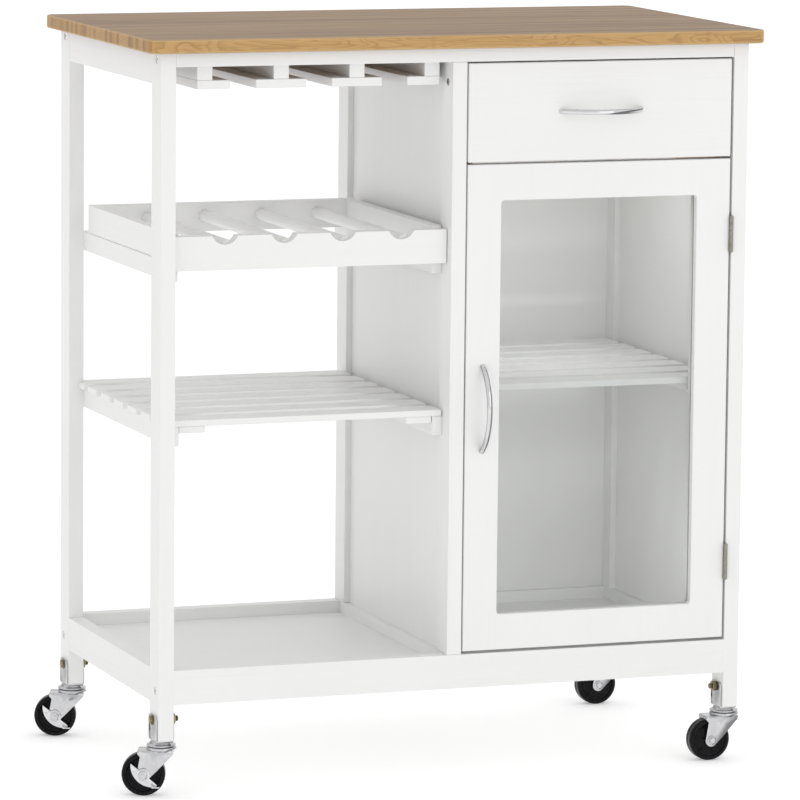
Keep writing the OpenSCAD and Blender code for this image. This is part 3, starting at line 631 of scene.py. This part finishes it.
def divider_bolt():
    """The bolt head in the divider's front post, on the open side under the worktop."""
    low, high = mm_box("mid_front_post")
    bm = bmesh.new()
    lathe(bm, [(0, -0.6), (3.8, -0.6), (3.9, -0.1), (3.3, 0.5), (2.0, 0.8), (1.6, 0.8)], (-1, 0, 0),
          (low.x, low.y + 14.0, high.z - 36.0), 40)
    lathe(bm, [(1.6, 0.8), (1.55, 0.1), (0, 0.0)], (-1, 0, 0), (low.x, low.y + 14.0, high.z - 36.0), 6)
    make("divider_bolt_head", bm, NICKEL, "cart", (), smooth=40.0, weighted=False)


divider_bolt()


def hexagon(bm, across, low, high, axis, centre, turned=0.3):
    """A hexagonal head or nut with its corners turned off at both ends."""
    flat = across * 0.5
    lathe(bm, [(0, low), (flat * 0.98, low), (across * 0.577, low + 0.5), (across * 0.577, high - 0.5),
               (flat * 0.98, high), (0, high)], axis, centre, 6, turned)


def caster_bolts():
    """Yellow-zinc bolts through the brackets, with washers, nuts and a few turns of thread showing."""
    low, high = mm_box("caster_bolts")
    bm = bmesh.new()
    for leg in ("left_front_leg", "left_back_leg", "right_front_leg", "right_back_leg"):
        leg_low, leg_high = mm_box(leg)
        side = -1 if "left" in leg else 1
        y = (leg_low.y + leg_high.y) / 2 + (1 if "front" in leg else -1)
        z = (low.z + high.z) / 2
        outer = (leg_low.x if side < 0 else leg_high.x) + side * 2.0
        inner = (leg_high.x if side < 0 else leg_low.x) - side * 2.0
        out, back = (side, 0, 0), (-side, 0, 0)
        lathe(bm, [(0, 0), (5.6, 0), (5.6, 0.6), (5.2, 0.8), (0, 0.8)], out, (outer, y, z), 40)
        part = bmesh.new()
        dome = [(0, 0.8), (3.9, 0.8), (4.3, 1.1), (4.2, 2.0), (3.2, 2.9), (0, 3.0)]
        lathe(part, dome, out, (outer, y, z), 40)
        merge(bm, part)
        hexagon(bm, 10.0, 0.0, 4.4, back, (inner, y, z))
        thread = [(0, 4.0)]
        for k in range(6):
            thread += [(2.55, 4.0 + k * 0.55), (2.95, 4.25 + k * 0.55)]
        thread += [(2.5, 7.3), (0, 7.4)]
        lathe(bm, thread, back, (inner, y, z), 32)
    make("caster_bolt_sets", bm, YELLOW, "cart", ["caster_bolts"], smooth=32.0,
         weighted=False)


caster_bolts()


# ---------------------------------------------------------------- casters

# the axle stands behind the swivel axis and at the wheel's radius above the floor, in mm
TRAIL = 18.0
AXLE_Z = 22.5


def joint(name):
    return next(j for j in record["behaviour"]["joints"] if j["name"] == name)


def swivel_of(corner):
    """The swivel axis of a caster on the floor, in mm."""
    x, y, z = joint(corner + "_swivel")["pos_m"]
    return Vector((x * 1000, y * 1000, 0))


def swing(bm, corner):
    """Turns a caster's piece about its swivel axis to where its axle points at rest."""
    x, y, z = joint(corner + "_roll")["axis"]
    bmesh.ops.rotate(bm, verts=bm.verts, cent=swivel_of(corner) * MM,
                     matrix=Matrix.Rotation(-math.atan2(x, y), 3, "Z"))


def shifted(points, dx, dy):
    return [(a + dx, b + dy) for a, b in points]


def brackets():
    """U-shaped brackets with rounded ears round each leg's foot, and the upper half of each race."""
    bm = bmesh.new()
    for corner in ("front_left", "back_left", "front_right", "back_right"):
        c = swivel_of(corner)
        ear = shifted([(-12.5, 59.0)] + arc(-7.5, 79.5, 5.0, 180, 90, 6) + arc(7.5, 79.5, 5.0, 90, 0, 6) +
                      [(12.5, 59.0), (11.0, 57.4), (-11.0, 57.4)], c.y, 0)
        for side in (-1, 1):
            near, far = sorted((c.x + side * 8.0, c.x + side * 9.9))
            merge(bm, softened(lambda b: slab(b, ear, "yz", near, far), 0.45))
        web = shifted([(-9.6, -11.5), (-8.4, -12.5), (8.4, -12.5), (9.6, -11.5), (9.6, 11.5), (8.4, 12.5),
                       (-8.4, 12.5), (-9.6, 11.5)], c.x, c.y)
        merge(bm, softened(lambda b: slab(b, web, "xy", 57.0, 58.95), 0.5))
        race = [(3.9, 52.0), (12.6, 52.0), (13.6, 51.75), (14.6, 51.8), (15.0, 52.4), (14.9, 53.2),
                (14.2, 53.8), (13.0, 54.0), (12.2, 54.5), (11.7, 55.4), (11.2, 56.4), (10.4, 57.0), (3.9, 57.1)]
        lathe(bm, race, (0, 0, 1), (c.x, c.y, 0), 72, loop=True)
        pin = [(0, 57.6), (3.95, 57.5), (3.95, 45.7), (5.0, 45.5), (5.0, 44.6), (4.1, 43.85), (0, 43.8)]
        lathe(bm, pin, (0, 0, 1), (c.x, c.y, 0), 40)
    make("caster_bracket_pressings", bm, PLATE, "cart", ["caster_brackets"],
         smooth=38.0, weighted=False)


def fork(corner, braked):
    """A pressed fork: the lower race, a squared crown, creased arms and a riveted axle."""
    c = swivel_of(corner)
    bm = bmesh.new()
    race = [(4.05, 46.2), (4.05, 51.0), (9.0, 51.3), (12.8, 51.35), (14.3, 51.1), (15.2, 50.4), (15.5, 49.4),
            (15.2, 48.5), (14.3, 47.9), (13.2, 47.6), (12.2, 46.9), (11.6, 46.2)]
    lathe(bm, race, (0, 0, 1), (c.x, c.y, 0), 72, loop=True)
    crown = shifted([(-24, -9.9), (-22.6, -11.4), (-3, -11.4), (2, -10.8), (2, 10.8), (-3, 11.4),
                     (-22.6, 11.4), (-24, 9.9)], c.x, c.y)
    merge(bm, softened(lambda b: slab(b, crown, "xy", 46.05, 48.0), 0.8, 3))
    merge(bm, softened(lambda b: slab(b, shifted([(-24, 44.2), (-22.4, 44.2), (-22.4, 47.2), (-23.4, 47.2),
                                                  (-24, 46.4)], c.x, 0), "xz", c.y - 9.4, c.y + 9.4), 0.35))
    rear = [(-24.8, 22.5), (-21.4, 41.6), (-23.9, 43.9), (-23.9, 46.8), (-23.2, 47.6), (-6.0, 47.6)]
    low_end = arc(-18.0, 22.5, 6.9, 180, 325, 12)
    outline = list(reversed(low_end[1:])) + rear
    for side in (-1, 1):
        def arm(b, side=side):
            near, far = sorted((side * 9.6, side * 11.4))
            slab(b, shifted([(-6.0, 24.8)] + outline, c.x, 0), "xz", c.y + near, c.y + far)
            lead = [(-6.0, 24.8), (2.0, 32.9), (8.0, 39.0), (12.0, 43.1), (12.9, 44.6), (13.0, 47.6),
                    (-6.0, 47.6)]
            slab(b, shifted(lead, c.x, 0), "xz", c.y + near, c.y + far)
            bmesh.ops.remove_doubles(b, verts=b.verts, dist=1e-6)
            inner = [f for f in b.faces if all(abs(v.co.x * 1000 - c.x + 6.0) < 1e-3 for v in f.verts)]
            bmesh.ops.delete(b, geom=inner, context="FACES_ONLY")
            for v in b.verts:
                ahead = v.co.x * 1000 - c.x + 6.0
                if ahead > 0:
                    v.co.y -= side * min(ahead, 20.0) / 20.0 * 2.6 * MM
        merge(bm, softened(arm, 0.45, 2, 40.0))
    axle = Vector((c.x - TRAIL, c.y, AXLE_Z))
    lathe(bm, [(0, -14.0), (2.9, -14.0), (2.95, -13.5), (2.95, 11.4), (0, 11.4)] if braked else
          [(0, -11.4), (2.95, -11.4), (2.95, 11.4), (0, 11.4)], (0, 1, 0), axle, 32)
    rivet = [(4.7, 0), (4.8, 0.5), (4.2, 1.3), (3.3, 1.75), (2.7, 1.6), (2.3, 1.25), (0, 1.2)]
    lathe(bm, rivet, (0, 1, 0), (axle.x, axle.y + 11.4, axle.z), 40)
    if not braked:
        lathe(bm, rivet, (0, -1, 0), (axle.x, axle.y - 11.4, axle.z), 40)
    else:
        nut = axle + Vector((0, -13.4, 0))
        lathe(bm, [(0, 0), (5.4, 0), (5.4, 0.5), (5.0, 0.7), (0, 0.7)], (0, -1, 0), nut, 40)
        hexagon(bm, 8.0, 0.5, 1.8, (0, -1, 0), nut, 0.2)
        lathe(bm, [(2.4, 1.6), (2.3, 2.0), (1.6, 2.2), (0, 2.2)], (0, -1, 0), nut, 24)
    swing(bm, corner)
    make(corner + "_fork_pressing", bm, PLATE, corner + "_fork", [corner + "_fork"],
         smooth=38.0, weighted=False)


def wheel(corner):
    """A moulded wheel: rounded tread, a stepped rim on both sides, a sunk web and a hub."""
    c = swivel_of(corner)
    half = [(3.05, 8.8), (5.8, 8.8), (6.6, 8.5), (7.0, 7.8), (7.2, 6.6), (7.8, 6.3), (13.4, 6.3), (13.8, 6.0),
            (14.6, 6.0), (15.0, 6.3), (16.6, 6.4), (17.2, 6.8), (17.5, 7.6), (18.0, 8.0), (19.4, 8.0),
            (20.8, 7.6), (21.9, 6.7), (22.4, 5.4), (22.5, 4.0), (22.5, 0.5), (22.42, 0.25)]
    profile = half + [(22.42, -0.25)] + [(r, -h) for r, h in reversed(half[:-1])]
    bm = bmesh.new()
    lathe(bm, profile, (0, 1, 0), (c.x - TRAIL, c.y, AXLE_Z), 96, loop=True)
    ribs = bmesh.new()
    for side in (-1, 1):
        for k in range(6):
            a = math.tau * (k + 0.25) / 6
            turn = Matrix.Rotation(a, 4, "Y")
            bar = bmesh.new()
            slab(bar, [(6.2, -0.7), (17.0, -0.5), (17.0, 0.5), (6.2, 0.7)], "xz", min(side * 5.8, side * 7.3),
                 max(side * 5.8, side * 7.3))
            bmesh.ops.recalc_face_normals(bar, faces=bar.faces)
            soften(bar, 0.35 * MM)
            bmesh.ops.transform(bar, matrix=Matrix.Translation(Vector((c.x - TRAIL, c.y, AXLE_Z)) * MM) @ turn,
                                verts=bar.verts)
            merge(ribs, bar)
    merge(bm, ribs)
    swing(bm, corner)
    make(corner + "_wheel_moulding", bm, NYLON, corner + "_wheel", [corner + "_wheel"],
         smooth=32.0, weighted=False)


def brake(corner):
    """A crescent brake plate with a rolled rim, a rivet and a foot tab bent outwards."""
    c = swivel_of(corner)
    x0, z0, y0 = c.x - TRAIL, AXLE_Z, c.y - 11.8
    crescent = arc(10, 10.7, 23, 175, 280, 24) + [(14.0, -9.5)] + arc(0, 0, 7.2, -26, 126, 14)
    bm = softened(lambda b: slab(b, shifted(crescent, x0, z0), "xz", y0 - 1.5, y0), 0.4)
    tab = bmesh.new()
    foot = [(8.6, -12.0), (17.0, -12.0), (17.0, -10.5), (8.6, -10.5)]
    slab(tab, shifted(foot, x0, z0), "xz", y0 - 7.4, y0 - 0.3)
    bmesh.ops.recalc_face_normals(tab, faces=tab.faces)
    soften(tab, 0.5 * MM)
    merge(bm, tab)
    rivet = [(0, 0.9), (1.0, 0.8), (1.6, 0.5), (1.8, 0.0), (0, 0)]
    lathe(bm, rivet, (0, -1, 0), (x0 - 8.8, y0 - 1.4, z0 + 3.2), 28)
    swing(bm, corner)
    make(corner + "_brake_pressing", bm, CHROME, corner + "_brake", [corner + "_brake"],
         smooth=38.0, weighted=False)


brackets()
for corner in ("front_left", "back_left", "front_right", "back_right"):
    fork(corner, "left" in corner)
    wheel(corner)
for corner in ("front_left", "back_left"):
    brake(corner)


# ---------------------------------------------------------------- floor, light and camera

def floor():
    size = 40.0
    bm = bmesh.new()
    bmesh.ops.create_grid(bm, x_segments=8, y_segments=8, size=size)
    mesh = bpy.data.meshes.new("studio_floor")
    bm.to_mesh(mesh)
    bm.free()
    obj = bpy.data.objects.new("studio_floor", mesh)
    bpy.context.scene.collection.objects.link(obj)
    m = Nodes("pale_floor")
    mesh.materials.append(m.done(rgb(0.93, 0.93, 0.93), 0.9, Specular_IOR_Level=0.1,
                                 Emission_Color=rgb(1, 1, 1), Emission_Strength=0.28))


def area(name, spot, aim, size, power):
    light = bpy.data.lights.new(name, "AREA")
    light.shape = "RECTANGLE"
    light.size, light.size_y = size
    light.energy = power
    obj = bpy.data.objects.new(name, light)
    bpy.context.scene.collection.objects.link(obj)
    obj.location = spot
    obj.rotation_euler = (Vector(aim) - Vector(spot)).to_track_quat("-Z", "Y").to_euler()


floor()
world = bpy.data.worlds.new("studio")
world.use_nodes = True
world.node_tree.nodes["Background"].inputs[0].default_value = rgb(1.0, 1.0, 1.0)
world.node_tree.nodes["Background"].inputs[1].default_value = 0.87
bpy.context.scene.world = world
area("key", (1.2, -4.2, 1.7), (0, 0, 0.45), (2.4, 2.4), 14.0)
# two small soft boxes behind the door's rails lift the inside of the cupboard
inside_x = (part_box("door_glass")[0].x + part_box("door_glass")[1].x) / 2
area("cupboard_top", (inside_x, -0.070, 0.636), (inside_x, 0.04, 0.42), (0.12, 0.05), 0.22)
area("cupboard_low", (inside_x, -0.135, 0.146), (inside_x, 0.06, 0.36), (0.12, 0.03), 0.18)

camera = bpy.data.cameras.new("camera")
camera.sensor_width = 36.0
camera.lens = 248.65
camera.clip_end = 200.0
eye = bpy.data.objects.new("camera", camera)
bpy.context.scene.collection.objects.link(eye)
eye.location = (-1.9698, -5.4540, 1.1924)
eye.rotation_euler = (1.4309, -0.0097, -0.3466)
bpy.context.scene.camera = eye
bpy.context.scene.view_settings.view_transform = "Standard"
